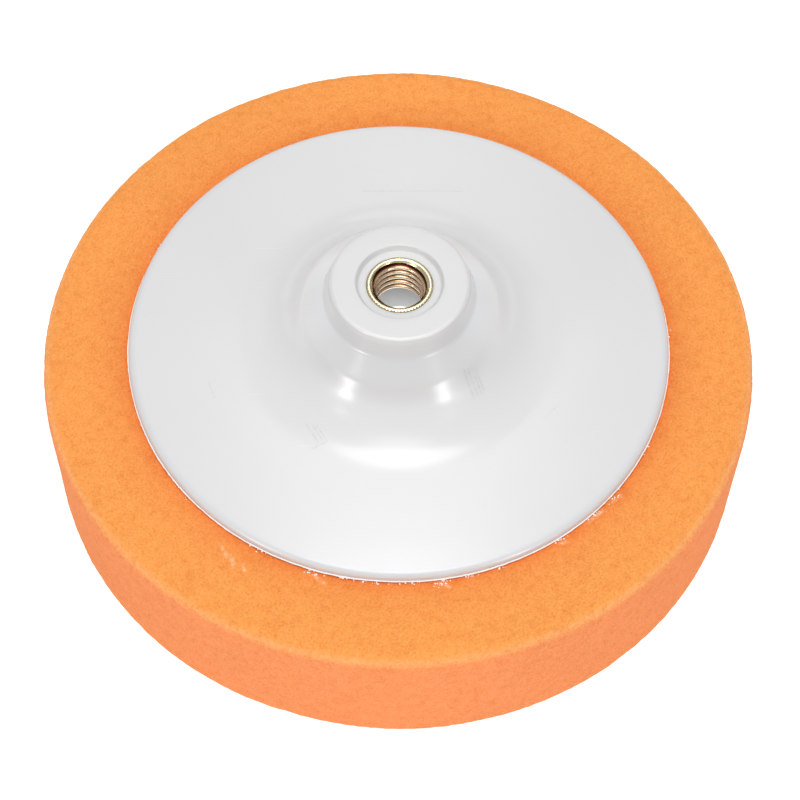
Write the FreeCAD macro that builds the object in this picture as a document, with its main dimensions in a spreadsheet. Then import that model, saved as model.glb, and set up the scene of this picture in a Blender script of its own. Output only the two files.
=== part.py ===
import FreeCAD, Part
import math
import os

# Bonded foam polishing head: a thick foam disc, a dished plastic backing plate,
# a threaded brass bush moulded into its hub, and the film of adhesive between
# plate and foam.  Millimetres, +Z up.  The origin is the centre of the foam's
# flat working face; the hub and its thread point up +Z.

V = FreeCAD.Vector
doc = FreeCAD.newDocument("polishing_head")

# ---------------------------------------------------------------- dimensions
sheet = doc.addObject("Spreadsheet::Sheet", "Dims")
SIZES = [
    # foam disc
    ("foam_radius", 90.0),
    ("foam_height", 40.0),
    ("foam_top_round", 4.0),
    ("foam_face_round", 4.5),
    # adhesive film
    ("glue_radius", 67.5),
    ("glue_thick", 0.4),
    # backing plate, heights above its own underside
    ("plate_radius", 68.25),
    ("rim_high", 2.0),
    ("rim_round", 1.6),
    ("flange_radius", 31.8),
    ("flange_high", 5.1),
    ("flange_fillet", 19.5),
    ("shoulder_radius", 24.3),
    ("shoulder_high", 15.8),
    ("shoulder_round", 8.0),
    ("hub_base_radius", 18.9),
    ("hub_base_high", 20.4),
    ("hub_base_fillet", 2.6),
    ("hub_top_radius", 17.05),
    ("hub_high", 26.3),
    ("hub_round", 0.8),
    ("recess_radius", 10.9),
    ("recess_floor_radius", 10.2),
    ("recess_floor_high", 24.8),
    ("recess_round", 0.45),
    # coring under the dome
    ("boss_radius", 12.5),
    ("core_roof_high", 13.0),
    ("core_roof_radius", 22.2),
    ("core_knee_radius", 32.4),
    ("core_knee_high", 3.6),
    ("core_edge_radius", 37.5),
    ("core_edge_high", 2.2),
    ("rib_thick", 2.5),
    ("rib_bite", 0.5),
    ("rib_count", 8),
    # well under the bush
    ("well_radius", 7.5),
    ("web_thick", 2.5),
    # threaded bush, heights above its own underside
    ("bush_seat_high", 14.7),
    ("bush_high", 10.3),
    ("bush_body_radius", 10.0),
    ("bush_body_high", 8.1),
    ("bush_neck_radius", 8.19),
    ("bush_neck_bevel", 0.25),
    ("groove_radius", 9.2),
    ("groove_from", 3.2),
    ("groove_to", 5.0),
    ("knurl_depth", 0.3),
    ("knurl_half_width", 0.3),
    ("knurl_count", 60),
    # M14 x 2 internal thread
    ("thread_minor_radius", 5.918),
    ("thread_major_radius", 7.0),
    ("thread_pitch", 2.0),
    ("thread_root_flat", 0.25),
    ("thread_cut_radius", 5.5),
    ("entry_radius", 7.3),
    ("exit_chamfer", 0.3),
]
D = {}
for row, (name, value) in enumerate(SIZES, start=1):
    sheet.set("A%d" % row, name)
    sheet.set("B%d" % row, repr(value))
    sheet.setAlias("B%d" % row, name)
    D[name] = float(value)
doc.recompute()


# ------------------------------------------------------------------- helpers
def origin_plane(body, role):
    for item in body.Origin.OriginFeatures:
        if item.Role == role:
            return item
    raise RuntimeError("no %s" % role)


def new_body(label, lift=None):
    body = doc.addObject("PartDesign::Body", label)
    body.Label = label
    body.Placement = FreeCAD.Placement(V(0, 0, 0), FreeCAD.Rotation())
    if lift:
        body.setExpression(".Placement.Base.z", lift)
    doc.recompute()
    return body


def number(expr):
    """The starting value of a sheet formula, used to lay a sketch out."""
    text = expr
    for name in sorted(D, key=len, reverse=True):
        text = text.replace("Dims." + name, "(%r)" % D[name])
    total, sign = 0.0, 1.0
    for piece in text.replace("-", "+-").split("+"):
        piece = piece.strip()
        if not piece:
            continue
        sign = 1.0
        if piece.startswith("-"):
            sign, piece = -1.0, piece[1:].strip()
        value = 1.0
        for k, factor in enumerate(piece.replace("/", "*/").split("*")):
            factor = factor.strip()
            if factor.startswith("/"):
                value /= float(factor[1:].strip().strip("()"))
            else:
                value *= float(factor.strip("()"))
        total += sign * value
    return total


def outline(body, name, role, corners):
    """A closed polygon sketch whose corners sit at sheet formulas (across, up)."""
    sketch = body.newObject("Sketcher::SketchObject", name)
    sketch.AttachmentSupport = [(origin_plane(body, role), "")]
    sketch.MapMode = "FlatFace"
    spots = [(number(a), number(b)) for a, b in corners]
    count = len(spots)
    for k in range(count):
        a, b = spots[k], spots[(k + 1) % count]
        sketch.addGeometry(Part.LineSegment(V(a[0], a[1], 0), V(b[0], b[1], 0)), False)
    for k in range(count):
        sketch.addConstraint(Sketcher_constraint("Coincident", k, 2, (k + 1) % count, 1))
    for k, (across, up) in enumerate(corners):
        for kind, expr, value in (("DistanceX", across, spots[k][0]), ("DistanceY", up, spots[k][1])):
            if expr == "0":
                axis = -2 if kind == "DistanceX" else -1
                sketch.addConstraint(Sketcher_constraint("PointOnObject", k, 1, axis))
            else:
                at = sketch.addConstraint(Sketcher_constraint(kind, -1, 1, k, 1, value))
                sketch.setExpression("Constraints[%d]" % at, expr)
    doc.recompute()
    return sketch


def Sketcher_constraint(*args):
    import Sketcher

    return Sketcher.Constraint(*args)


def disc_sketch(body, name, expr):
    sketch = body.newObject("Sketcher::SketchObject", name)
    sketch.AttachmentSupport = [(origin_plane(body, "XY_Plane"), "")]
    sketch.MapMode = "FlatFace"
    sketch.addGeometry(Part.Circle(V(0, 0, 0), V(0, 0, 1), number(expr)), False)
    sketch.addConstraint(Sketcher_constraint("Coincident", 0, 3, -1, 1))
    at = sketch.addConstraint(Sketcher_constraint("Radius", 0, number(expr)))
    sketch.setExpression("Constraints[%d]" % at, expr)
    doc.recompute()
    return sketch


def rings(feature, radius, high, within=0.02):
    """Names of the circular edges of a feature with this radius at this height."""
    found = []
    for k, edge in enumerate(feature.Shape.Edges, start=1):
        curve = edge.Curve
        if not isinstance(curve, Part.Circle):
            continue
        if abs(curve.Radius - radius) < within and abs(curve.Center.z - high) < within:
            found.append("Edge%d" % k)
    if not found:
        raise RuntimeError("no ring r=%g z=%g on %s" % (radius, high, feature.Label))
    return found


def fillet(body, base, name, radius, high, size):
    feature = body.newObject("PartDesign::Fillet", name)
    feature.Base = (base, rings(base, radius, high))
    feature.Radius = number(size)
    feature.setExpression("Radius", size)
    doc.recompute()
    return feature


def revolve(body, name, sketch):
    feature = body.newObject("PartDesign::Revolution", name)
    feature.Profile = sketch
    feature.ReferenceAxis = (sketch, ["V_Axis"])
    feature.Angle = 360
    doc.recompute()
    return feature


def around(body, name, original, count):
    """Repeat a feature evenly around the Z axis."""
    feature = body.newObject("PartDesign::PolarPattern", name)
    feature.Originals = [original]
    sketch = original.Profile[0]
    for item in body.Origin.OriginFeatures:
        if item.Role == "Z_Axis":
            feature.Axis = (item, [""])
    feature.Angle = 360
    feature.Occurrences = int(D[count])
    feature.setExpression("Occurrences", "Dims." + count)
    body.Tip = feature
    doc.recompute()
    return feature


def changed(what, before, after, sign):
    if (after - before) * sign <= 1e-3:
        raise RuntimeError("%s changed the volume by %g" % (what, after - before))


# ------------------------------------------------------------------ foam disc
# A plain slab of open-cell foam with softly rounded top and bottom edges.
foam = new_body("foam_pad")
pad = foam.newObject("PartDesign::Pad", "FoamSlab")
pad.Profile = disc_sketch(foam, "FoamCircle", "Dims.foam_radius")
pad.Length = D["foam_height"]
pad.setExpression("Length", "Dims.foam_height")
doc.recompute()
step = fillet(foam, pad, "FoamTopRound", D["foam_radius"], D["foam_height"], "Dims.foam_top_round")
step = fillet(foam, step, "FoamFaceRound", D["foam_radius"], 0.0, "Dims.foam_face_round")
changed("foam rounding", pad.Shape.Volume, step.Shape.Volume, -1)

# -------------------------------------------------------------- adhesive film
glue = new_body("adhesive_layer", "Dims.foam_height")
film = glue.newObject("PartDesign::Pad", "GlueFilm")
film.Profile = disc_sketch(glue, "GlueCircle", "Dims.glue_radius")
film.Length = D["glue_thick"]
film.setExpression("Length", "Dims.glue_thick")
doc.recompute()

# -------------------------------------------------------------- backing plate
# One revolved skin: thin rim, shallow conical flange, steep skirt, sloping
# shoulder and drafted hub with a shallow recess in its top.  Inside: the seat of
# the bush, the well under it with a closed web, and an annular core under the
# dome that is open downward and divided by radial ribs.
plate = new_body("backing_plate", "Dims.foam_height + Dims.glue_thick")
S = "Dims."
seat = S + "bush_seat_high"
profile = outline(
    plate,
    "PlateProfile",
    "XZ_Plane",
    [
        ("0", "0"),
        (S + "boss_radius", "0"),
        (S + "boss_radius", S + "core_roof_high"),
        (S + "core_roof_radius", S + "core_roof_high"),
        (S + "core_knee_radius", S + "core_knee_high"),
        (S + "core_edge_radius", S + "core_edge_high"),
        (S + "core_edge_radius", "0"),
        (S + "plate_radius", "0"),
        (S + "plate_radius", S + "rim_high"),
        (S + "flange_radius", S + "flange_high"),
        (S + "shoulder_radius", S + "shoulder_high"),
        (S + "hub_base_radius", S + "hub_base_high"),
        (S + "hub_top_radius", S + "hub_high"),
        (S + "recess_radius", S + "hub_high"),
        (S + "recess_floor_radius", S + "recess_floor_high"),
        (S + "bush_neck_radius", S + "recess_floor_high"),
        (S + "bush_neck_radius", seat + " + " + S + "bush_body_high"),
        (S + "bush_body_radius", seat + " + " + S + "bush_body_high"),
        (S + "bush_body_radius", seat + " + " + S + "groove_to"),
        (S + "groove_radius", seat + " + " + S + "groove_to"),
        (S + "groove_radius", seat + " + " + S + "groove_from"),
        (S + "bush_body_radius", seat + " + " + S + "groove_from"),
        (S + "bush_body_radius", seat),
        (S + "well_radius", seat),
        (S + "well_radius", S + "web_thick"),
        ("0", S + "web_thick"),
    ],
)
skin = revolve(plate, "PlateSkin", profile)
step = fillet(plate, skin, "RimRound", D["plate_radius"], D["rim_high"], "Dims.rim_round")
step = fillet(plate, step, "FlangeFillet", D["flange_radius"], D["flange_high"], "Dims.flange_fillet")
step = fillet(plate, step, "ShoulderRound", D["shoulder_radius"], D["shoulder_high"], "Dims.shoulder_round")
step = fillet(plate, step, "HubBaseFillet", D["hub_base_radius"], D["hub_base_high"], "Dims.hub_base_fillet")
step = fillet(plate, step, "HubRound", D["hub_top_radius"], D["hub_high"], "Dims.hub_round")
step = fillet(plate, step, "RecessRound", D["recess_radius"], D["hub_high"], "Dims.recess_round")
step = fillet(
    plate, step, "RecessFloorFillet", D["recess_floor_radius"], D["recess_floor_high"], "Dims.recess_round"
)

rib_sketch = outline(
    plate,
    "RibProfile",
    "XZ_Plane",
    [
        (S + "boss_radius - " + S + "rib_bite", "0"),
        (S + "core_edge_radius + " + S + "rib_bite", "0"),
        (S + "core_edge_radius + " + S + "rib_bite", S + "core_edge_high + " + S + "rib_bite"),
        (S + "core_knee_radius + " + S + "rib_bite", S + "core_knee_high + " + S + "rib_bite"),
        (S + "core_roof_radius + " + S + "rib_bite / 2", S + "core_roof_high + " + S + "rib_bite"),
        (S + "boss_radius - " + S + "rib_bite", S + "core_roof_high + " + S + "rib_bite"),
    ],
)
rib = plate.newObject("PartDesign::Pad", "Rib")
rib.Profile = rib_sketch
rib.Midplane = True
rib.Length = D["rib_thick"]
rib.setExpression("Length", "Dims.rib_thick")
doc.recompute()
changed("rib", step.Shape.Volume, rib.Shape.Volume, 1)
ribs = around(plate, "Ribs", rib, "rib_count")
changed("ribs", rib.Shape.Volume, ribs.Shape.Volume, 1)

# -------------------------------------------------------------- threaded bush
# Turned brass bush: knurled body with a retaining groove, knurled neck standing a
# little proud of the recess floor, conical thread entry, and a cut M14 x 2 thread.
bush = new_body("threaded_insert", "Dims.foam_height + Dims.glue_thick + Dims.bush_seat_high")
profile = outline(
    bush,
    "BushProfile",
    "XZ_Plane",
    [
        (S + "thread_minor_radius + " + S + "exit_chamfer", "0"),
        (S + "bush_body_radius", "0"),
        (S + "bush_body_radius", S + "groove_from"),
        (S + "groove_radius", S + "groove_from"),
        (S + "groove_radius", S + "groove_to"),
        (S + "bush_body_radius", S + "groove_to"),
        (S + "bush_body_radius", S + "bush_body_high"),
        (S + "bush_neck_radius", S + "bush_body_high"),
        (S + "bush_neck_radius", S + "bush_high - " + S + "bush_neck_bevel"),
        (S + "bush_neck_radius - " + S + "bush_neck_bevel", S + "bush_high"),
        (S + "entry_radius", S + "bush_high"),
        (
            S + "thread_minor_radius",
            S + "bush_high - " + S + "entry_radius + " + S + "thread_minor_radius",
        ),
        (S + "thread_minor_radius", S + "exit_chamfer"),
    ],
)
blank = revolve(bush, "BushBlank", profile)

# straight knurl: one V groove down the body and one down the neck, repeated
knurl_sketch = outline(
    bush,
    "KnurlBody",
    "XY_Plane",
    [
        (S + "bush_body_radius - " + S + "knurl_depth", "0"),
        (S + "bush_body_radius + " + S + "knurl_depth", S + "knurl_half_width * 2"),
        (S + "bush_body_radius + " + S + "knurl_depth", "0 - " + S + "knurl_half_width * 2"),
    ],
)
knurl = bush.newObject("PartDesign::Pocket", "KnurlGrooveBody")
knurl.Profile = knurl_sketch
knurl.Reversed = True
knurl.Length = D["bush_body_high"]
knurl.setExpression("Length", "Dims.bush_body_high")
doc.recompute()
changed("body knurl", blank.Shape.Volume, knurl.Shape.Volume, -1)
knurled = around(bush, "KnurlBodyRing", knurl, "knurl_count")

neck_sketch = outline(
    bush,
    "KnurlNeck",
    "XY_Plane",
    [
        (S + "bush_neck_radius - " + S + "knurl_depth", "0"),
        (S + "bush_neck_radius + " + S + "knurl_depth", S + "knurl_half_width * 2"),
        (S + "bush_neck_radius + " + S + "knurl_depth", "0 - " + S + "knurl_half_width * 2"),
    ],
)
neck_sketch.AttachmentOffset = FreeCAD.Placement(V(0, 0, D["bush_body_high"]), FreeCAD.Rotation())
neck_sketch.setExpression(".AttachmentOffset.Base.z", "Dims.bush_body_high")
doc.recompute()
neck = bush.newObject("PartDesign::Pocket", "KnurlGrooveNeck")
neck.Profile = neck_sketch
neck.Reversed = True
neck.Length = D["bush_high"] - D["bush_body_high"]
neck.setExpression("Length", "Dims.bush_high - Dims.bush_body_high")
doc.recompute()
changed("neck knurl", knurled.Shape.Volume, neck.Shape.Volume, -1)
necked = around(bush, "KnurlNeckRing", neck, "knurl_count")
changed("knurling", blank.Shape.Volume, necked.Shape.Volume, -1)

# the thread groove: 60 degree flanks, flat root at the major radius
flank = "0.57735"
cut_half = (
    S + "thread_root_flat / 2 + " + S + "thread_major_radius * " + flank + " - " + S + "thread_cut_radius * " + flank
)
start = "0 - " + S + "thread_pitch"
tooth = outline(
    bush,
    "ThreadTooth",
    "XZ_Plane",
    [
        (
            S + "thread_cut_radius",
            start + " - " + S + "thread_root_flat / 2 - " + S + "thread_major_radius * " + flank
            + " + " + S + "thread_cut_radius * " + flank,
        ),
        (S + "thread_major_radius", start + " - " + S + "thread_root_flat / 2"),
        (S + "thread_major_radius", start + " + " + S + "thread_root_flat / 2"),
        (S + "thread_cut_radius", start + " + " + cut_half),
    ],
)
thread = bush.newObject("PartDesign::SubtractiveHelix", "Thread")
thread.Profile = tooth
thread.ReferenceAxis = (tooth, ["V_Axis"])
thread.Mode = 0
thread.Angle = 0
thread.Pitch = D["thread_pitch"]
thread.Height = D["bush_high"] + 2 * D["thread_pitch"]
thread.setExpression("Pitch", "Dims.thread_pitch")
thread.setExpression("Height", "Dims.bush_high + 2 * Dims.thread_pitch")
bush.Tip = thread
doc.recompute()
changed("thread", necked.Shape.Volume, thread.Shape.Volume, -1)

# --------------------------------------------------------- checks and export
doc.recompute()
for obj in doc.Objects:
    if "Invalid" in obj.State or "Error" in obj.State:
        raise RuntimeError("%s is %s" % (obj.Label, obj.State))

os.makedirs("parts", exist_ok=True)
for body in (foam, glue, plate, bush):
    shape = body.Shape
    if shape.isNull() or not shape.isValid():
        raise RuntimeError("%s has a bad shape" % body.Label)
    if len(shape.Solids) != 1:
        raise RuntimeError("%s has %d solids" % (body.Label, len(shape.Solids)))
    shape.exportStep("parts/" + body.Label + ".step")
    box = shape.BoundBox
    print(
        "%-16s %10.1f mm3  x %.2f..%.2f  y %.2f..%.2f  z %.2f..%.2f  %d faces"
        % (
            body.Label,
            shape.Volume,
            box.XMin,
            box.XMax,
            box.YMin,
            box.YMax,
            box.ZMin,
            box.ZMax,
            len(shape.Faces),
        )
    )
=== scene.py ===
import math

import bmesh
import bpy
import numpy as np
from mathutils import Matrix, Vector


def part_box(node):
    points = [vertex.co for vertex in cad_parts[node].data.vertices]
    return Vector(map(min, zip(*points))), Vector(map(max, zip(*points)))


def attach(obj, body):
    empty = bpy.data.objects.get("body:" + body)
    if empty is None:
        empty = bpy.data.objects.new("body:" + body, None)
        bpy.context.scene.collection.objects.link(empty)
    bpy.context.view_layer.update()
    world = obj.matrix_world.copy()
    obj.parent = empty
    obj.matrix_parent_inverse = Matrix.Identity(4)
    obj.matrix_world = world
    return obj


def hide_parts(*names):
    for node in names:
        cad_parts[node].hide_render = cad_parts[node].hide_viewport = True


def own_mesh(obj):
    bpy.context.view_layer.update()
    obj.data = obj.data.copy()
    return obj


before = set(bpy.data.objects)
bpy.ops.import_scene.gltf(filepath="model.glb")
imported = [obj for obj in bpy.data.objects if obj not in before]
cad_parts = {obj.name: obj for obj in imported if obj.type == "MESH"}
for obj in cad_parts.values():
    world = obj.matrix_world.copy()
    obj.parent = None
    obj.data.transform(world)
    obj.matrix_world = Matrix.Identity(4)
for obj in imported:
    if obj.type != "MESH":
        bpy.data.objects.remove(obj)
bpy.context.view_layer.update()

MM = 0.001
foam_lo, foam_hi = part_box("foam_pad")
plate_lo, plate_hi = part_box("backing_plate")
bush_lo, bush_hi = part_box("threaded_insert")
glue_lo, glue_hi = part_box("adhesive_layer")

FOAM_R = (foam_hi[0] - foam_lo[0]) / 2
FOAM_T = foam_hi[2]
PLATE_R = (plate_hi[0] - plate_lo[0]) / 2
PLATE_Z = plate_lo[2]
HUB_Z = plate_hi[2]


# ------------------------------------------------------------------ helpers
def smooth_noise(points, scale, seed, octaves=1):
    """Seeded value noise in numpy, about -1..1, smooth at the given scale."""
    points = np.asarray(points, float) / scale
    total = np.zeros(len(points))
    amp, norm = 1.0, 0.0
    for o in range(octaves):
        rng = np.random.default_rng(seed + 17 * o)
        table = rng.uniform(-1, 1, 4096)
        q = points * (2.0 ** o) + 31.7 * (o + 1)
        cell = np.floor(q).astype(np.int64)
        f = q - cell
        f = f * f * (3 - 2 * f)
        value = 0.0
        for dx in (0, 1):
            for dy in (0, 1):
                for dz in (0, 1):
                    h = ((cell[:, 0] + dx) * 73856093) ^ ((cell[:, 1] + dy) * 19349663) ^ ((cell[:, 2] + dz) * 83492791)
                    w = (f[:, 0] if dx else 1 - f[:, 0]) * (f[:, 1] if dy else 1 - f[:, 1]) * (f[:, 2] if dz else 1 - f[:, 2])
                    value = value + w * table[h & 4095]
        total += amp * value
        norm += amp
        amp *= 0.5
    return total / norm


def rounded(points, steps=40):
    """A polyline whose inner corners (across, up, radius) are rounded with arcs."""
    out = []
    p = [np.array(q[:2], float) for q in points]
    for i, q in enumerate(points):
        rad = q[2]
        if i in (0, len(points) - 1) or rad <= 0:
            out.append(p[i])
            continue
        a = p[i - 1] - p[i]
        b = p[i + 1] - p[i]
        a /= np.linalg.norm(a)
        b /= np.linalg.norm(b)
        half = math.acos(float(np.clip(a @ b, -1, 1))) / 2
        t = rad / math.tan(half)
        centre = p[i] + (a + b) / np.linalg.norm(a + b) * rad / math.sin(half)
        s0, s1 = p[i] + a * t - centre, p[i] + b * t - centre
        a0, a1 = math.atan2(s0[1], s0[0]), math.atan2(s1[1], s1[0])
        da = (a1 - a0 + math.pi) % (2 * math.pi) - math.pi
        k = max(3, int(abs(da) / (math.pi / 2) * steps))
        for j in range(k + 1):
            w = a0 + da * j / k
            out.append(centre + rad * np.array([math.cos(w), math.sin(w)]))
    return np.array(out)


def resample(path, step):
    """Points along a polyline, spaced by step (a number or a function of the point)."""
    out = [path[0]]
    for a, b in zip(path[:-1], path[1:]):
        length = float(np.linalg.norm(b - a))
        size = step((a + b) / 2) if callable(step) else step
        n = max(1, int(math.ceil(length / size)))
        for j in range(1, n + 1):
            out.append(a + (b - a) * j / n)
    return np.array(out)


def thin(path, least):
    """Drops points closer than least to the one kept before them."""
    keep = [path[0]]
    for q in path[1:-1]:
        if np.linalg.norm(q - keep[-1]) >= least:
            keep.append(q)
    keep.append(path[-1])
    return np.array(keep)


def lathe(rings, counts):
    """Verts and faces of rings (r, z) with their own counts; neighbours are equal or 2:1."""
    verts, faces, start = [], [], []
    for (r, z), n in zip(rings, counts):
        start.append(len(verts))
        if n == 1:
            verts.append((0.0, 0.0, z))
            continue
        for k in range(n):
            a = 2 * math.pi * k / n
            verts.append((r * math.cos(a), r * math.sin(a), z))
    for i in range(len(rings) - 1):
        n, m = counts[i], counts[i + 1]
        s, t = start[i], start[i + 1]
        if n == m and n > 1:
            for k in range(n):
                j = (k + 1) % n
                faces.append((s + k, s + j, t + j, t + k))
        elif n == 2 * m:
            for k in range(m):
                a, b, c = s + 2 * k, s + 2 * k + 1, s + (2 * k + 2) % n
                d, e = t + k, t + (k + 1) % m
                faces.append((a, b, d))
                faces.append((b, e, d))
                faces.append((b, c, e))
        elif m == 2 * n:
            for k in range(n):
                a, b, c = t + 2 * k, t + 2 * k + 1, t + (2 * k + 2) % m
                d, e = s + k, s + (k + 1) % n
                faces.append((a, d, b))
                faces.append((b, d, e))
                faces.append((b, e, c))
        elif m == 1:
            for k in range(n):
                faces.append((s + k, s + (k + 1) % n, t))
        elif n == 1:
            for k in range(m):
                faces.append((s, t + (k + 1) % m, t + k))
        else:
            raise ValueError("ring counts %d and %d" % (n, m))
    return np.array(verts), faces


def make_object(name, verts, faces, smooth=True):
    mesh = bpy.data.meshes.new(name)
    mesh.from_pydata([tuple(v) for v in verts], [], faces)
    mesh.validate()
    bm = bmesh.new()
    bm.from_mesh(mesh)
    bmesh.ops.recalc_face_normals(bm, faces=bm.faces)
    bm.to_mesh(mesh)
    bm.free()
    mesh.polygons.foreach_set("use_smooth", [smooth] * len(mesh.polygons))
    mesh.update()
    obj = bpy.data.objects.new(name, mesh)
    bpy.context.scene.collection.objects.link(obj)
    return obj


def float_attribute(obj, name, values):
    attr = obj.data.attributes.new(name, "FLOAT", "POINT")
    attr.data.foreach_set("value", np.asarray(values, np.float32))


class Nodes:
    """A short way to write a material's node tree."""

    def __init__(self, name):
        self.mat = bpy.data.materials.new(name)
        self.mat.use_nodes = True
        self.tree = self.mat.node_tree
        self.tree.nodes.clear()
        self.out = self.tree.nodes.new("ShaderNodeOutputMaterial")

    def new(self, kind, **values):
        node = self.tree.nodes.new(kind)
        for key, value in values.items():
            if key.startswith("_"):
                setattr(node, key[1:], value)
        for key, value in values.items():
            if not key.startswith("_"):
                name = key.replace("__", " ")
                self.put(node.inputs[int(name[1:])] if name[0] == "i" and name[1:].isdigit() else node.inputs[name], value)
        return node

    def put(self, socket, value):
        if isinstance(value, bpy.types.NodeSocket):
            self.tree.links.new(value, socket)
        elif isinstance(value, bpy.types.Node):
            self.tree.links.new(value.outputs[0], socket)
        else:
            socket.default_value = value

    def math(self, op, a, b=None, c=None, clamp=False):
        node = self.tree.nodes.new("ShaderNodeMath")
        node.operation = op
        node.use_clamp = clamp
        for k, v in enumerate((a, b, c)):
            if v is not None:
                self.put(node.inputs[k], v)
        return node.outputs[0]

    def mix(self, factor, a, b, mode="MIX"):
        node = self.tree.nodes.new("ShaderNodeMix")
        node.data_type = "RGBA"
        node.blend_type = mode
        node.clamp_factor = True
        self.put(node.inputs[0], factor)
        self.put(node.inputs[6], a)
        self.put(node.inputs[7], b)
        return node.outputs[2]

    def ramp(self, value, stops, interpolation="LINEAR"):
        node = self.tree.nodes.new("ShaderNodeValToRGB")
        ramp = node.color_ramp
        ramp.interpolation = interpolation
        while len(ramp.elements) < len(stops):
            ramp.elements.new(0.5)
        for e, (at, colour) in zip(ramp.elements, stops):
            e.position = at
            if not isinstance(colour, (tuple, list)):
                colour = (colour,) * 3
            e.color = tuple(colour) + (1.0,) * (4 - len(colour))
        self.put(node.inputs[0], value)
        return node.outputs[0]

    def noise(self, vector, scale, detail=2.0, rough=0.5, distortion=0.0):
        node = self.tree.nodes.new("ShaderNodeTexNoise")
        self.put(node.inputs["Vector"], vector)
        node.inputs["Scale"].default_value = scale
        node.inputs["Detail"].default_value = detail
        node.inputs["Roughness"].default_value = rough
        node.inputs["Distortion"].default_value = distortion
        return node.outputs[0]

    def voronoi(self, vector, scale, feature="F1", randomness=1.0):
        node = self.tree.nodes.new("ShaderNodeTexVoronoi")
        node.feature = feature
        self.put(node.inputs["Vector"], vector)
        node.inputs["Scale"].default_value = scale
        node.inputs["Randomness"].default_value = randomness
        return node.outputs["Distance"]

    def bump(self, height, strength, distance, normal=None):
        node = self.tree.nodes.new("ShaderNodeBump")
        node.inputs["Strength"].default_value = strength
        node.inputs["Distance"].default_value = distance
        self.put(node.inputs["Height"], height)
        if normal is not None:
            self.put(node.inputs["Normal"], normal)
        return node.outputs[0]

    def bars(self, where, rows):
        """A mask of soft short bars laid on the plan: x0, y0, x1, y1, half-width."""
        flat = self.new("ShaderNodeVectorMath", _operation="MULTIPLY")
        self.put(flat.inputs[0], where)
        flat.inputs[1].default_value = (1.0, 1.0, 0.0)
        total = None
        for x0, y0, x1, y1, half in rows:
            start, span = Vector((x0, y0, 0)), Vector((x1 - x0, y1 - y0, 0))
            rel = self.new("ShaderNodeVectorMath", _operation="SUBTRACT")
            self.put(rel.inputs[0], flat.outputs[0])
            rel.inputs[1].default_value = start
            dot = self.new("ShaderNodeVectorMath", _operation="DOT_PRODUCT")
            self.put(dot.inputs[0], rel.outputs[0])
            dot.inputs[1].default_value = span / span.length_squared
            along = self.math("MAXIMUM", self.math("MINIMUM", dot.outputs["Value"], 1.0), 0.0)
            foot = self.new("ShaderNodeVectorMath", _operation="SCALE")
            foot.inputs[0].default_value = span
            self.put(foot.inputs["Scale"], along)
            away = self.new("ShaderNodeVectorMath", _operation="DISTANCE")
            self.put(away.inputs[0], rel.outputs[0])
            self.put(away.inputs[1], foot.outputs[0])
            bar = self.math("SUBTRACT", 1.0, self.math("MULTIPLY", away.outputs["Value"], 1.0 / half), clamp=True)
            total = bar if total is None else self.math("MAXIMUM", total, bar)
        return total

    def attribute(self, name):
        node = self.tree.nodes.new("ShaderNodeAttribute")
        node.attribute_name = name
        return node.outputs["Fac"]


def lin(r, g, b):
    """sRGB 0..255 to scene linear, with alpha."""
    out = []
    for v in (r, g, b):
        v /= 255.0
        out.append(v / 12.92 if v <= 0.04045 else ((v + 0.055) / 1.055) ** 2.4)
    return (*out, 1.0)


# ---------------------------------------------------------------- materials
# pale smears of dried adhesive on the foam (metres, seen from above) and half-width
SMEARS = [
    (-0.0415, -0.0595, -0.0401, -0.0622, 0.0007),
    (-0.0392, -0.0622, -0.0384, -0.0645, 0.0008),
    (-0.0364, -0.0640, -0.0358, -0.0658, 0.0006),
    (-0.0193, -0.0668, -0.0166, -0.0688, 0.0007),
    (0.0462, -0.0512, 0.0500, -0.0480, 0.0008),
    (0.0396, -0.0572, 0.0412, -0.0566, 0.0006),
    (0.0526, -0.0456, 0.0548, -0.0436, 0.0006),
    (0.0104, -0.0684, 0.0130, -0.0692, 0.0006),
]


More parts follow.
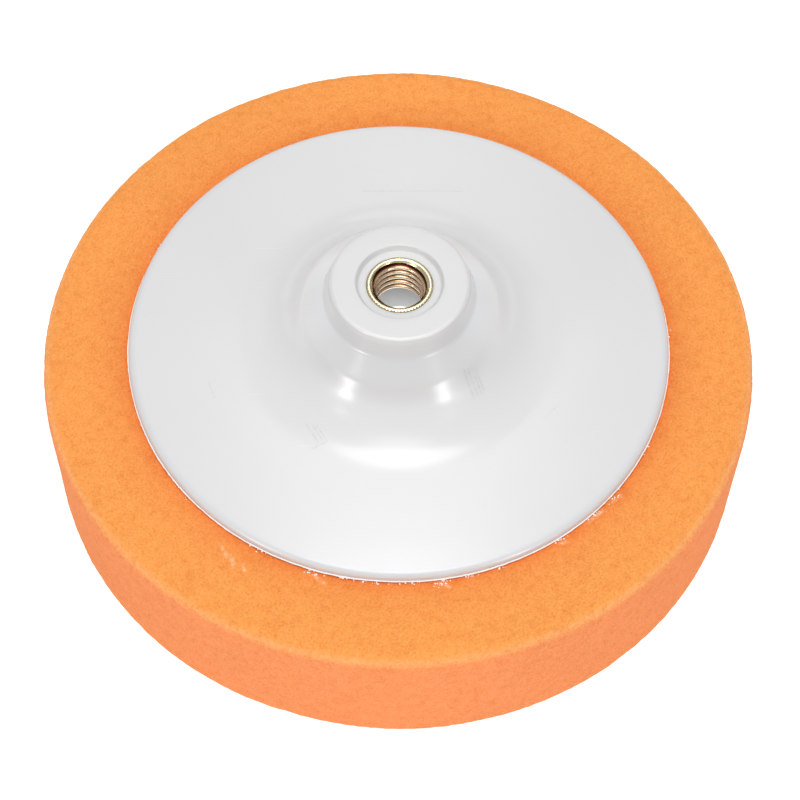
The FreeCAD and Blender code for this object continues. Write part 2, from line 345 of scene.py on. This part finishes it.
def foam_material():
    m = Nodes("foam_orange")
    where = m.new("ShaderNodeTexCoord").outputs["Object"]
    split = m.new("ShaderNodeSeparateXYZ")
    m.put(split.inputs[0], where)
    x, y, z = split.outputs
    radius = m.math("SQRT", m.math("ADD", m.math("MULTIPLY", x, x), m.math("MULTIPLY", y, y)))
    # open cells: two sizes of pore, broken up by a warp
    warp = m.new("ShaderNodeTexNoise", _noise_dimensions="3D")
    m.put(warp.inputs["Vector"], where)
    warp.inputs["Scale"].default_value = 900.0
    warp.inputs["Detail"].default_value = 1.0
    off = m.new("ShaderNodeVectorMath", _operation="MULTIPLY_ADD")
    m.put(off.inputs[0], warp.outputs[1])
    off.inputs[1].default_value = (0.0006, 0.0006, 0.0006)
    m.put(off.inputs[2], where)
    cell = m.voronoi(off.outputs[0], 1500.0)
    cell2 = m.voronoi(off.outputs[0], 3000.0)
    pore = m.ramp(cell, [(0.0, 0.0), (0.42, 0.62), (0.75, 1.0)])
    pore2 = m.ramp(cell2, [(0.0, 0.15), (0.5, 0.8), (0.8, 1.0)])
    both = m.math("MULTIPLY", pore, pore2)
    patch = m.noise(where, 420.0, 3.0, 0.6)
    slow = m.noise(where, 38.0, 3.0, 0.55)
    grain = m.noise(where, 1700.0, 2.0, 0.65)
    tone = m.ramp(grain, [(0.30, lin(234, 139, 63)), (0.50, lin(248, 160, 83)), (0.72, lin(253, 176, 100))])
    dark = m.ramp(patch, [(0.28, lin(236, 138, 64)), (0.5, lin(248, 159, 82)), (0.75, lin(251, 167, 90))])
    colour = m.mix(0.5, tone, dark)
    large = m.ramp(slow, [(0.3, 0.97), (0.7, 1.02)])
    colour = m.mix(1.0, colour, large, "MULTIPLY")
    pores = m.ramp(both, [(0.0, 0.72), (0.35, 0.95), (1.0, 1.03)])
    colour = m.mix(0.75, colour, pores, "MULTIPLY")
    # here and there one larger open cell, seen as a small darker speck
    speck = m.ramp(m.voronoi(off.outputs[0], 640.0), [(0.0, 1.0), (0.14, 1.0), (0.26, 0.0)])
    colour = m.mix(m.math("MULTIPLY", speck, 0.13), colour, lin(205, 96, 36))
    # painted shading: the side faces are tinted pinker than the top, standing in for the light falling differently on
    # them
    side = m.attribute("side")
    colour = m.mix(side, colour, m.mix(1.0, colour, (1.0, 0.86, 1.22, 1.0), "MULTIPLY"))
    # painted shade next to the plate: a thin dark line in the gap under the rim, then a fading redder, darker zone
    top = m.math("GREATER_THAN", z, (FOAM_T - 0.0032))
    beside = m.math("MULTIPLY", m.ramp(m.math("MULTIPLY", m.math("SUBTRACT", radius, PLATE_R), 1 / 0.012), [(0.0, 1.0), (0.10, 0.62), (0.35, 0.24), (1.0, 0.0)]), top)
    colour = m.mix(beside, colour, m.mix(1.0, colour, (0.90, 0.60, 0.58, 1.0), "MULTIPLY"))
    # painted shadow: the thin dark line in the gap under the plate's rim
    gap_shadow = m.math("MULTIPLY", m.ramp(m.math("MULTIPLY", m.math("SUBTRACT", radius, PLATE_R - 0.002), 1 / 0.0024), [(0.0, 1.0), (0.80, 1.0), (0.98, 0.0)]), top)
    colour = m.mix(gap_shadow, colour, m.mix(1.0, colour, (0.46, 0.36, 0.34, 1.0), "MULTIPLY"))
    # painted highlight: a soft pale band along the middle of the rounded top edge, broken up by noise
    painted_edge_highlight = m.attribute("edge")
    broken_edge_highlight = m.math("MULTIPLY", painted_edge_highlight, m.ramp(m.noise(where, 900.0, 2.0, 0.6), [(0.3, 0.06), (0.7, 0.34)]))
    colour = m.mix(broken_edge_highlight, colour, lin(255, 206, 150))
    smear = m.math("MULTIPLY", m.bars(where, SMEARS), m.ramp(m.noise(where, 1500.0, 2.0, 0.6), [(0.40, 0.05), (0.56, 1.0)]))
    colour = m.mix(m.math("MULTIPLY", m.math("MULTIPLY", smear, top), 0.5), colour, lin(252, 222, 188))
    b1 = m.bump(both, 0.55, 0.00035)
    b2 = m.bump(grain, 0.35, 0.0003, b1)
    b3 = m.bump(patch, 0.22, 0.0006, b2)
    bsdf = m.new(
        "ShaderNodeBsdfPrincipled",
        Base__Color=colour,
        Roughness=0.95,
        Normal=b3,
    )
    bsdf.inputs["Specular IOR Level"].default_value = 0.10
    bsdf.inputs["Sheen Weight"].default_value = 0.10
    bsdf.inputs["Sheen Roughness"].default_value = 0.5
    bsdf.inputs["Sheen Tint"].default_value = lin(255, 214, 170)
    m.put(m.out.inputs["Surface"], bsdf)
    return m.mat


# handling marks on the plate: two ends (metres, seen from above) and half-width
SCUFFS = [
    (-0.0222, -0.0284, -0.0192, -0.0330, 0.00040),
    (-0.0208, -0.0286, -0.0182, -0.0324, 0.00034),
    (-0.0196, -0.0290, -0.0174, -0.0322, 0.00034),
    (-0.0204, -0.0346, -0.0170, -0.0330, 0.00036),
    (0.0160, -0.0186, 0.0186, -0.0226, 0.00050),
    (0.0170, -0.0180, 0.0196, -0.0218, 0.00044),
    (0.0180, -0.0174, 0.0204, -0.0210, 0.00044),
    (0.0190, -0.0172, 0.0210, -0.0202, 0.00036),
    (-0.0290, 0.0040, -0.0262, 0.0044, 0.00030),
    (-0.0100, 0.0440, 0.0160, 0.0446, 0.00026),
    (0.0360, -0.0250, 0.0392, -0.0214, 0.00026),
    (-0.0470, -0.0160, -0.0452, -0.0204, 0.00026),
]


def plate_material():
    m = Nodes("plate_white_plastic")
    where = m.new("ShaderNodeTexCoord").outputs["Object"]
    slow = m.noise(where, 22.0, 3.0, 0.5)
    fine = m.noise(where, 700.0, 3.0, 0.6)
    colour = m.mix(slow, lin(213, 213, 213), lin(216, 216, 217))
    # fine handling scratches: stretched noise, only where a slow mask lets them through
    stretch = m.new("ShaderNodeMapping")
    m.put(stretch.inputs["Vector"], where)
    stretch.inputs["Rotation"].default_value = (0.0, 0.0, math.radians(38))
    stretch.inputs["Scale"].default_value = (60.0, 2600.0, 60.0)
    s1 = m.noise(stretch.outputs[0], 1.0, 2.0, 0.5)
    stretch2 = m.new("ShaderNodeMapping")
    m.put(stretch2.inputs["Vector"], where)
    stretch2.inputs["Rotation"].default_value = (0.0, 0.0, math.radians(-57))
    stretch2.inputs["Scale"].default_value = (45.0, 2200.0, 45.0)
    s2 = m.noise(stretch2.outputs[0], 1.0, 2.0, 0.5)
    lines = m.math("MAXIMUM", m.ramp(s1, [(0.68, 0.0), (0.74, 1.0)]), m.ramp(s2, [(0.69, 0.0), (0.75, 1.0)]))
    mask = m.ramp(m.noise(where, 60.0, 2.0, 0.5), [(0.5, 0.0), (0.66, 1.0)])
    lines = m.math("MULTIPLY", lines, mask)
    # a few single scuffs, each a short broken bar
    broken = m.ramp(m.noise(where, 1600.0, 2.0, 0.6), [(0.42, 0.15), (0.58, 1.0)])
    scuffs = m.bars(where, SCUFFS)
    scuffs = m.math("MULTIPLY", scuffs, broken)
    colour = m.mix(m.math("MULTIPLY", scuffs, 0.42), colour, lin(150, 150, 152))
    # painted shade on the plate: the hub's top face a shade darker, a grey shaded zone on the front of the shoulder, a
    # cooler shaded shoulder beside the hub, a cooler grey rim
    split = m.new("ShaderNodeSeparateXYZ")
    m.put(split.inputs[0], where)
    x, y, z = split.outputs
    radius = m.math("SQRT", m.math("ADD", m.math("MULTIPLY", x, x), m.math("MULTIPLY", y, y)))
    high = m.math("GREATER_THAN", z, HUB_Z - 0.0016)
    # painted shade: the hub's top face a shade darker than the rest of the plate
    face = high
    colour = m.mix(face, colour, m.mix(1.0, colour, (0.915, 0.915, 0.915, 1.0), "MULTIPLY"))
    ring = m.ramp(m.math("MULTIPLY", radius, 1 / 0.040), [(0.40, 0.0), (0.45, 1.0), (0.60, 1.0), (0.70, 0.0)], "EASE")
    front = m.math("DIVIDE", m.math("MULTIPLY", y, -1.0), m.math("MAXIMUM", radius, 0.001))
    front = m.ramp(front, [(0.25, 0.0), (0.85, 1.0)], "EASE")
    # painted shade: the front of the shoulder, in the hub's shadow, is darkened
    front_shoulder_shade = m.math("MULTIPLY", m.math("MULTIPLY", ring, front), m.math("SUBTRACT", 1.0, high))
    colour = m.mix(front_shoulder_shade, colour, m.mix(1.0, colour, (0.872, 0.868, 0.862, 1.0), "MULTIPLY"))
    # painted shade: the shoulder beside the hub is tinted slightly cooler
    shoulder_shade_tint = m.ramp(m.math("MULTIPLY", radius, 1 / 0.040), [(0.40, 1.0), (0.50, 1.0), (0.62, 0.0)])
    shoulder_shade_tint = m.math("MULTIPLY", shoulder_shade_tint, m.math("SUBTRACT", 1.0, high))
    colour = m.mix(shoulder_shade_tint, colour, m.mix(1.0, colour, (0.985, 1.0, 1.012, 1.0), "MULTIPLY"))
    # painted shade: the rounded rim is a cooler, darker grey
    rim = m.ramp(m.math("MULTIPLY", m.math("SUBTRACT", radius, 0.0660), 1 / 0.003), [(0.0, 0.0), (0.35, 1.0), (1.0, 1.0)])
    colour = m.mix(rim, colour, m.mix(1.0, colour, (0.94, 0.95, 0.965, 1.0), "MULTIPLY"))
    # painted highlight: a pale line along the front of the hub's top edge
    painted_edge_highlight = m.math("MULTIPLY", m.ramp(m.math("MULTIPLY", m.math("SUBTRACT", radius, 0.0163), 1 / 0.001), [(0.0, 0.0), (0.25, 1.0), (0.70, 1.0), (0.95, 0.0)]), high)
    colour = m.mix(m.math("MULTIPLY", m.math("MULTIPLY", painted_edge_highlight, front), 0.30), colour, lin(245, 245, 245))
    # painted light: the web at the foot of the well glows faintly, as if lit from the bore
    low = m.math("LESS_THAN", z, PLATE_Z + 0.0045)
    foot = m.math("MULTIPLY", m.math("LESS_THAN", radius, 0.0078), low)
    glow = m.math("MULTIPLY", foot, m.math("GREATER_THAN", z, PLATE_Z + 0.001))
    rough = m.ramp(m.noise(where, 90.0, 4.0, 0.6), [(0.3, 0.205), (0.7, 0.235)])
    rough = m.math("ADD", rough, m.math("MULTIPLY", lines, 0.08))
    rough = m.math("ADD", rough, m.math("MULTIPLY", scuffs, 0.25))
    b1 = m.bump(slow, 0.08, 0.0006)
    b2 = m.bump(fine, 0.05, 0.00004, b1)
    b3 = m.bump(lines, 0.10, 0.00003, b2)
    b4 = m.bump(scuffs, 0.35, 0.00008, b3)
    bsdf = m.new("ShaderNodeBsdfPrincipled", Base__Color=colour, Roughness=rough, Normal=b4)
    bsdf.inputs["IOR"].default_value = 1.5
    bsdf.inputs["Emission Color"].default_value = (1.0, 0.98, 0.97, 1.0)
    m.put(bsdf.inputs["Emission Strength"], m.math("MULTIPLY", glow, 0.64))
    m.put(m.out.inputs["Surface"], bsdf)
    return m.mat


def brass_material():
    m = Nodes("brass")
    where = m.new("ShaderNodeTexCoord").outputs["Object"]
    split = m.new("ShaderNodeSeparateXYZ")
    m.put(split.inputs[0], where)
    x, y, z = split.outputs
    radius = m.math("SQRT", m.math("ADD", m.math("MULTIPLY", x, x), m.math("MULTIPLY", y, y)))
    slow = m.noise(where, 500.0, 3.0, 0.6)
    lip = m.mix(slow, lin(250, 232, 184), lin(255, 244, 208))
    # thread: bright pinkish crests, and painted shade in the roots, brown deepening to near black
    depth = m.math("MULTIPLY", m.math("SUBTRACT", radius, 0.005918), 1 / 0.001082)
    thread = m.ramp(depth, [(0.0, lin(255, 240, 216)), (0.20, lin(255, 226, 190)), (0.36, lin(214, 150, 100)), (0.56, lin(78, 36, 24)), (1.0, lin(24, 10, 8))])
    inside = m.math("LESS_THAN", radius, 0.00704)
    below = m.math("LESS_THAN", z, bush_hi[2] - 0.0006)
    colour = m.mix(m.math("MULTIPLY", inside, below), lip, thread)
    # turned finish: fine rings along the axis
    turn = m.new("ShaderNodeTexWave", _wave_type="BANDS", _bands_direction="Z")
    m.put(turn.inputs["Vector"], where)
    turn.inputs["Scale"].default_value = 3500.0
    turn.inputs["Distortion"].default_value = 2.0
    rough = m.ramp(slow, [(0.3, 0.16), (0.7, 0.30)])
    bump = m.bump(turn.outputs[1], 0.10, 0.00003)
    bump = m.bump(slow, 0.15, 0.00005, bump)
    bsdf = m.new("ShaderNodeBsdfPrincipled", Base__Color=colour, Metallic=1.0, Roughness=rough, Normal=bump)
    m.put(m.out.inputs["Surface"], bsdf)
    return m.mat


def glue_material():
    m = Nodes("dried_adhesive")
    where = m.new("ShaderNodeTexCoord").outputs["Object"]
    slow = m.noise(where, 900.0, 3.0, 0.6)
    colour = m.mix(slow, lin(250, 246, 240), lin(255, 255, 254))
    bump = m.bump(slow, 0.4, 0.0002)
    bsdf = m.new("ShaderNodeBsdfPrincipled", Base__Color=colour, Roughness=0.45, Normal=bump)
    bsdf.inputs["Subsurface Weight"].default_value = 0.2
    bsdf.inputs["Subsurface Radius"].default_value = (1.0, 0.8, 0.6)
    bsdf.inputs["Subsurface Scale"].default_value = 0.001
    m.put(m.out.inputs["Surface"], bsdf)
    return m.mat


def floor_material():
    m = Nodes("studio_floor")
    where = m.new("ShaderNodeTexCoord").outputs["Object"]
    grain = m.noise(where, 40.0, 3.0, 0.5)
    colour = m.mix(grain, lin(196, 196, 196), lin(199, 199, 199))
    bsdf = m.new("ShaderNodeBsdfPrincipled", Base__Color=colour, Roughness=0.9)
    bsdf.inputs["Specular IOR Level"].default_value = 0.0
    bsdf.inputs["Emission Color"].default_value = (1, 1, 1, 1)
    # seen directly the sweep is plain white; seen from below it lets the underside show
    seen = m.new("ShaderNodeLightPath").outputs["Is Camera Ray"]
    m.put(bsdf.inputs["Emission Strength"], m.math("MULTIPLY_ADD", seen, 0.20, 0.65))
    clear = m.new("ShaderNodeBsdfTransparent")
    pick = m.new("ShaderNodeMixShader")
    m.put(pick.inputs[0], m.new("ShaderNodeNewGeometry").outputs["Backfacing"])
    m.put(pick.inputs[1], bsdf)
    m.put(pick.inputs[2], clear)
    m.put(m.out.inputs["Surface"], pick)
    return m.mat


# --------------------------------------------------------------------- foam
def build_foam():
    """The foam disc: a closed skin with softly rounded edges and a cut-foam relief."""
    R, T = FOAM_R / MM, FOAM_T / MM
    outline = rounded([(0, 0, 0), (R, 0, 4.5), (R, T, 4.0), (0, T, 0)], 14)
    step_fine, n_fine = 0.78, 768

    def size(q):
        r, z = q
        if z < 1e-6:
            return 1.4 if r > 40 else 2.2
        if z > T - 1e-6 and r < PLATE_R / MM - 5:
            return 4.0
        return step_fine

    path = thin(resample(outline, size), 0.35)
    rings, counts = [], []
    for r, z in path:
        want = 2 * math.pi * max(r, 0.01) / (step_fine if not (z < 1e-6 or (z > T - 1e-6 and r < 62)) else (1.4 if z < 1e-6 else 3.0))
        n = n_fine
        while n > 6 and n / 2 >= want:
            n //= 2
        rings.append((r, z))
        counts.append(1 if r < 1e-6 else n)
    # neighbours may differ by one halving only
    changed = True
    while changed:
        changed = False
        for i in range(len(counts) - 1):
            a, b = counts[i], counts[i + 1]
            if a == 1 or b == 1:
                continue
            if a > 2 * b:
                counts[i + 1] = a // 2
                changed = True
            elif b > 2 * a:
                counts[i] = b // 2
                changed = True
    verts, faces = lathe(rings, counts)
    normal = np.zeros_like(verts)
    r = np.hypot(verts[:, 0], verts[:, 1])
    z = verts[:, 2]
    # outward direction of the rounded slab
    bend = np.where(z > T / 2, 4.0, 4.5)
    side_w = np.clip(r - (R - bend), 0, None) / bend
    up_w = np.where(z > T - 4.0, z - (T - 4.0), np.where(z < 4.5, z - 4.5, 0.0)) / bend
    length = np.hypot(side_w, up_w) + 1e-9
    radial = np.stack([verts[:, 0] / (r + 1e-9), verts[:, 1] / (r + 1e-9), 0 * r], -1)
    normal = radial * (side_w / length)[:, None] + np.array([0, 0, 1.0]) * (up_w / length)[:, None]
    flat = length < 1e-6
    normal[flat] = (0, 0, 1)
    # cut-foam relief: fine pits and a slow unevenness from the knife
    fine = smooth_noise(verts, 0.9, 11) * 0.10 + smooth_noise(verts, 2.1, 12) * 0.06
    slow = smooth_noise(verts, 14.0, 13) * 0.09 + smooth_noise(verts, 38.0, 14) * 0.16
    under = (z > T - 0.05) & (r < PLATE_R / MM)
    amount = np.where(under, 0.0, fine + slow)
    # the foam is pinched down a little under the plate's rim and swells back outside it
    dip = np.where(z > T - 2.0, -0.55 * np.exp(-(((r - (PLATE_R / MM)) / 2.2) ** 2)), 0.0)
    dip = np.where(r < PLATE_R / MM - 1.5, 0.0, dip)
    out = verts + normal * (amount)[:, None]
    out[:, 2] += dip
    # keep the working face flat on the floor and the glued face clear of the adhesive
    out[:, 2] = np.maximum(out[:, 2], 0.0)
    out[:, 2] = np.where(under, np.minimum(out[:, 2], T - 0.05), out[:, 2])
    obj = make_object("foam_disc", out * MM, faces)
    turn = np.degrees(np.arctan2(np.abs(up_w), side_w))
    # weight of the painted pinker shading on the side faces
    side = np.where(side_w > 0, np.clip((48.0 - turn) / 30.0, 0, 1), 0.0)
    float_attribute(obj, "side", side)
    # where the painted highlight runs, along the middle of the top edge's rounding
    edge = np.where((side_w > 0) & (np.abs(up_w) > 0), np.exp(-(((turn - 40.0) / 15.0) ** 2)), 0.0)
    float_attribute(obj, "edge", edge)
    obj.data.materials.append(foam_material())
    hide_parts("foam_pad")
    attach(obj, "foam")
    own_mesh(obj)
    return obj


# -------------------------------------------------------------------- plate
PLATE_PROFILE = [
    (0.0, 0.0, 0), (68.05, 0.0, 0.2), (68.25, 0.2, 0.0), (68.25, 2.0, 1.6), (60.0, 2.85, 150.0),
    (50.0, 3.72, 150.0), (31.8, 5.1, 19.5), (24.3, 15.8, 8.0), (18.9, 20.4, 2.6), (17.05, 26.3, 0.8),
    (10.8, 26.3, 0.4), (10.15, 24.85, 0.4), (8.22, 24.85, 0.12), (8.22, 14.7, 0.0), (7.5, 14.7, 0.0),
    (7.5, 2.5, 0.5), (0.0, 2.5, 0.0),
]


def build_plate():
    """The moulded backing plate as one closed skin, with a moulding's slight waviness."""
    base = PLATE_Z / MM
    path = rounded([(r, z, c) for r, z, c in PLATE_PROFILE], 30)
    path = thin(resample(path, lambda q: 1.2 if q[0] > 12 else 0.8), 0.09)
    rings = [(r, z + base) for r, z in path]
    counts = [1 if r < 1e-6 else 384 for r, z in path]
    verts, faces = lathe(rings, counts)
    r = np.hypot(verts[:, 0], verts[:, 1])
    top = (verts[:, 2] > base + 1.9) & (r > 17.5) & (r < 67.4)
    wave = smooth_noise(verts, 16.0, 21) * 0.035 + smooth_noise(verts, 6.0, 22) * 0.008
    verts[:, 2] += np.where(top, wave, 0.0)
    obj = make_object("plate_moulding", verts * MM, faces)
    obj.data.materials.append(plate_material())
    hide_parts("backing_plate")
    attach(obj, "backing")
    return obj


# ----------------------------------------------------------------- adhesive
# where crumbs were squeezed out beside the rim: azimuth from the front and half-range
# (degrees), how many, how far out they reach (mm)
CRUMBS = [
    (-16.0, 2.4, 18, 1.3), (-10.0, 2.0, 7, 0.6), (-3.5, 3.5, 12, 0.4), (3.5, 2.5, 6, 0.4), (9.6, 2.0, 22, 1.4),
    (15.5, 2.0, 8, 0.8), (21.0, 2.0, 5, 0.5), (35.4, 1.6, 9, 0.9), (45.4, 2.4, 18, 1.1), (51.0, 1.4, 9, 1.5),
    (63.0, 2.5, 5, 0.6), (-48.0, 3.0, 5, 0.5), (-28.0, 2.5, 5, 0.5), (92.0, 3.0, 4, 0.6), (142.0, 3.0, 8, 0.9),
    (-113.0, 3.0, 7, 0.8), (-165.0, 3.0, 6, 0.8),
]


def crumb(centre, size, seed, rows=6, around=9):
    """A small closed lump."""
    verts, faces = [], []
    dirs = [(0.0, 0.0, -1.0)]
    for i in range(1, rows):
        e = -math.pi / 2 + math.pi * i / rows
        for k in range(around):
            a = 2 * math.pi * k / around
            dirs.append((math.cos(e) * math.cos(a), math.cos(e) * math.sin(a), math.sin(e)))
    dirs.append((0.0, 0.0, 1.0))
    dirs = np.array(dirs)
    grow = 1.0 + 0.55 * smooth_noise(dirs, 0.7, seed, 2)
    shape = dirs * grow[:, None] * size * np.array([1.0, 1.0, 0.62])
    verts = shape + np.array(centre)
    last = len(dirs) - 1
    for k in range(around):
        j = (k + 1) % around
        faces.append((0, 1 + j, 1 + k))
        for i in range(rows - 2):
            s0, s1 = 1 + i * around, 1 + (i + 1) * around
            faces.append((s0 + k, s0 + j, s1 + j, s1 + k))
        top = 1 + (rows - 2) * around
        faces.append((top + k, top + j, last))
    return verts, faces


def build_glue(foam_obj):
    """The film of adhesive with its squeezed-out, uneven edge and a few crumbs outside the rim."""
    z0, z1 = glue_lo[2] / MM, glue_hi[2] / MM
    n = 720
    ang = np.arange(n) * 2 * np.pi / n
    ring = np.stack([np.cos(ang), np.sin(ang), 0 * ang], -1) * 67.5
    ragged = smooth_noise(ring, 0.9, 31, 2) * 0.09 + smooth_noise(ring, 6.0, 32) * 0.06
    radius = PLATE_R / MM + 0.26 + ragged
    # a thin film under the plate that ends in a small bead standing out past the rim
    rows = [(40.0, z1 - 0.02, 0.0), (60.0, z1 - 0.02, 0.0), (None, z1 - 0.02, -0.45), (None, z1 + 0.22, -0.20),
            (None, z1 + 0.16, -0.02), (None, z1 - 0.06, 0.06), (None, z1 - 0.30, -0.04), (None, z0 + 0.02, -0.35),
            (60.0, z0 + 0.02, 0.0), (40.0, z0 + 0.02, 0.0)]
    verts, faces = [], []
    for rad, z, out in rows:
        rr = np.full(n, rad) if rad else radius + out
        for a, q in zip(ang, rr):
            verts.append((q * math.cos(a), q * math.sin(a), z))
    for k in range(len(rows)):
        j = (k + 1) % len(rows)
        for i in range(n):
            m = (i + 1) % n
            faces.append((k * n + i, k * n + m, j * n + m, j * n + i))
    skin = np.array([v.co for v in foam_obj.data.vertices]) / MM
    skin = skin[skin[:, 2] > 35]
    rng = np.random.default_rng(77)
    number = 0
    for azimuth, half, count, reach in CRUMBS:
        for _ in range(count):
            a = math.radians(azimuth + half * rng.normal() * 0.5)
            rad = PLATE_R / MM + 0.30 + reach * abs(rng.normal()) * 0.6
            size = 0.10 + 0.19 * rng.random() ** 2
            x, y = rad * math.sin(a), -rad * math.cos(a)
            level = float(skin[np.argmin(np.hypot(skin[:, 0] - x, skin[:, 1] - y)), 2])
            level = max(level, z0 + 0.1) if rad < PLATE_R / MM + 0.45 else level
            more, tris = crumb((x, y, level + 0.10 * size), size, 300 + 7 * number)
            number += 1
            base = len(verts)
            verts.extend(tuple(v) for v in more)
            faces.extend(tuple(base + i for i in f) for f in tris)
    obj = make_object("glue_film", np.array(verts) * MM, faces)
    obj.data.materials.append(glue_material())
    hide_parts("adhesive_layer")
    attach(obj, "backing")
    return obj


# --------------------------------------------------------------------- bush
def build_bush():
    """The turned brass bush: knurled outside, and a cut M14 x 2 right-hand thread up to its entry cone."""
    base, high = bush_lo[2] / MM, (bush_hi[2] - bush_lo[2]) / MM
    n, pitch, minor, major = 360, 2.0, 5.918, 7.0
    ang = np.arange(n) * 2 * np.pi / n
    # sixty straight knurl grooves, six steps each
    knurl = np.abs(((np.arange(n) % 6) - 3)) / 3.0
    rows = []
    for r, z, cut in [
        (6.25, 0.0, 0), (8.2, 0.0, 0), (9.8, 0.0, 1), (10.0, 0.2, 1), (10.0, 3.2, 1), (9.2, 3.2, 0), (9.2, 5.0, 0),
        (10.0, 5.0, 1), (10.0, 8.1, 1), (8.19, 8.1, 1), (8.19, high - 0.28, 1), (8.12, high - 0.10, 1),
        (7.96, high, 0.3), (7.6, high, 0), (7.34, high, 0), (7.24, high - 0.05, 0),
    ]:
        rows.append((r - 0.3 * cut * (1 - knurl), np.full(n, z)))
    steps = int(round((high - 0.12) / 0.10))
    for k in range(steps + 1):
        z = (high - 0.12) * (1 - k / steps)
        phase = (z / pitch - ang / (2 * np.pi)) % 1.0
        away = np.abs(phase - 0.5) * pitch            # distance from the middle of the groove
        groove = major - np.clip(away - 0.125, 0, None) * math.tan(math.radians(60))
        wall = np.maximum(groove, minor)
        entry = 7.24 - (high - 0.05 - z) * 1.0
        leave = minor + 0.3 - z
        rows.append((np.maximum(np.maximum(wall, entry), leave), np.full(n, z)))
    verts, faces = [], []
    for rr, zz in rows:
        verts.append(np.stack([rr * np.cos(ang), rr * np.sin(ang), zz + base], -1))
    verts = np.concatenate(verts)
    count = len(rows)
    for k in range(count):
        j = (k + 1) % count
        for i in range(n):
            m = (i + 1) % n
            faces.append((k * n + i, k * n + m, j * n + m, j * n + i))
    obj = make_object("brass_bush", verts * MM, faces)
    obj.data.materials.append(brass_material())
    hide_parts("threaded_insert")
    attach(obj, "backing")
    return obj


foam = build_foam()
plate = build_plate()
glue = build_glue(foam)

bush = build_bush()

# -------------------------------------------------------------------- stage
floor_mesh = bpy.data.meshes.new("floor")
# a small triangle under the object, so that no edge runs beneath it, and a wide apron around it
floor_mesh.from_pydata(
    [(-1.2, -0.7, 0), (1.2, -0.7, 0), (0, 1.4, 0), (-12.0, -7.0, 0), (12.0, -7.0, 0), (0, 14.0, 0)],
    [],
    [(0, 1, 2), (3, 4, 1, 0), (4, 5, 2, 1), (5, 3, 0, 2)],
)
floor = bpy.data.objects.new("floor", floor_mesh)
bpy.context.scene.collection.objects.link(floor)
floor.location.z = -0.0006
floor.data.materials.append(floor_material())

world = bpy.data.worlds.new("studio")
bpy.context.scene.world = world
world.use_nodes = True
world.node_tree.nodes["Background"].inputs[0].default_value = (1, 1, 1, 1)
# white where the camera looks straight at it, dimmer as a light on the object
world_nodes = world.node_tree
path = world_nodes.nodes.new("ShaderNodeLightPath")
level = world_nodes.nodes.new("ShaderNodeMath")
level.operation = "MULTIPLY_ADD"
world_nodes.links.new(path.outputs["Is Camera Ray"], level.inputs[0])
level.inputs[1].default_value = 0.627
level.inputs[2].default_value = 0.373
world_nodes.links.new(level.outputs[0], world_nodes.nodes["Background"].inputs[1])


def area(name, azimuth, elevation, distance, size, watts, colour=(1, 1, 1), size_y=None):
    """An area light seen from the object at this azimuth (0 is the camera's side, -Y) and elevation."""
    data = bpy.data.lights.new(name, "AREA")
    data.shape = "RECTANGLE" if size_y else "DISK"
    data.size = size
    if size_y:
        data.size_y = size_y
    data.energy = watts
    data.color = colour
    obj = bpy.data.objects.new(name, data)
    bpy.context.scene.collection.objects.link(obj)
    a, e = math.radians(azimuth), math.radians(elevation)
    d = Vector((math.sin(a) * math.cos(e), -math.cos(a) * math.cos(e), math.sin(e)))
    target = Vector((0, 0, 0.045))
    obj.location = target + d * distance
    obj.rotation_mode = "QUATERNION"
    obj.rotation_quaternion = d.to_track_quat("Z", "Y")
    return obj


LIGHTS = [
    ("overhead", 0, 90, 1.2, 0.60, 6.1),
    ("front_high", 0, 70, 1.2, 0.50, 1.75),
    ("behind_high", 180, 65, 1.2, 0.50, 1.66),
    ("behind_middle", 180, 45, 1.2, 0.50, 0.49),
    ("behind_right", 135, 35, 1.2, 0.50, 0.21),
    ("behind_left", 225, 35, 1.2, 0.50, 0.21),
    ("behind_low", 180, 15, 1.2, 0.50, 0.75),
    ("fill_right", 44, 14, 1.2, 0.50, 0.95),
    ("fill_left", -47, 14, 1.2, 0.50, 0.95),
    ("lamp_left", -46, 36, 1.4, 0.20, 0.49),
    ("lamp_right", 41, 36, 1.4, 0.20, 0.33),
    ("lamp_left_low", -44, 12, 1.4, 0.24, 2.7),
    ("lamp_right_low", 39, 12, 1.4, 0.24, 2.4),
]
for row in LIGHTS:
    area(*row)

# ------------------------------------------------------------------- camera
cam_data = bpy.data.cameras.new("camera")
cam_data.sensor_width = 36.0
cam_data.lens = 36.0 * 2232.383 / 800.0
cam_data.clip_start, cam_data.clip_end = 0.01, 50.0
camera = bpy.data.objects.new("camera", cam_data)
bpy.context.scene.collection.objects.link(camera)
tilt = math.radians(58.834)
spot = Vector((0.0, -0.600 * math.cos(tilt), 0.600 * math.sin(tilt)))
aim = Vector((0.000603, 0.00736, 0.0))
back = (spot - aim).normalized()
right = Vector((0, 0, 1)).cross(back).normalized()
upward = back.cross(right)
roll = 0.018
right, upward = (
    right * math.cos(roll) + upward * math.sin(roll),
    upward * math.cos(roll) - right * math.sin(roll),
)
camera.matrix_world = Matrix(
    (
        (right.x, upward.x, back.x, spot.x),
        (right.y, upward.y, back.y, spot.y),
        (right.z, upward.z, back.z, spot.z),
        (0, 0, 0, 1),
    )
)
bpy.context.scene.camera = camera
bpy.context.scene.view_settings.view_transform = "Standard"
bpy.context.scene.view_settings.look = "None"
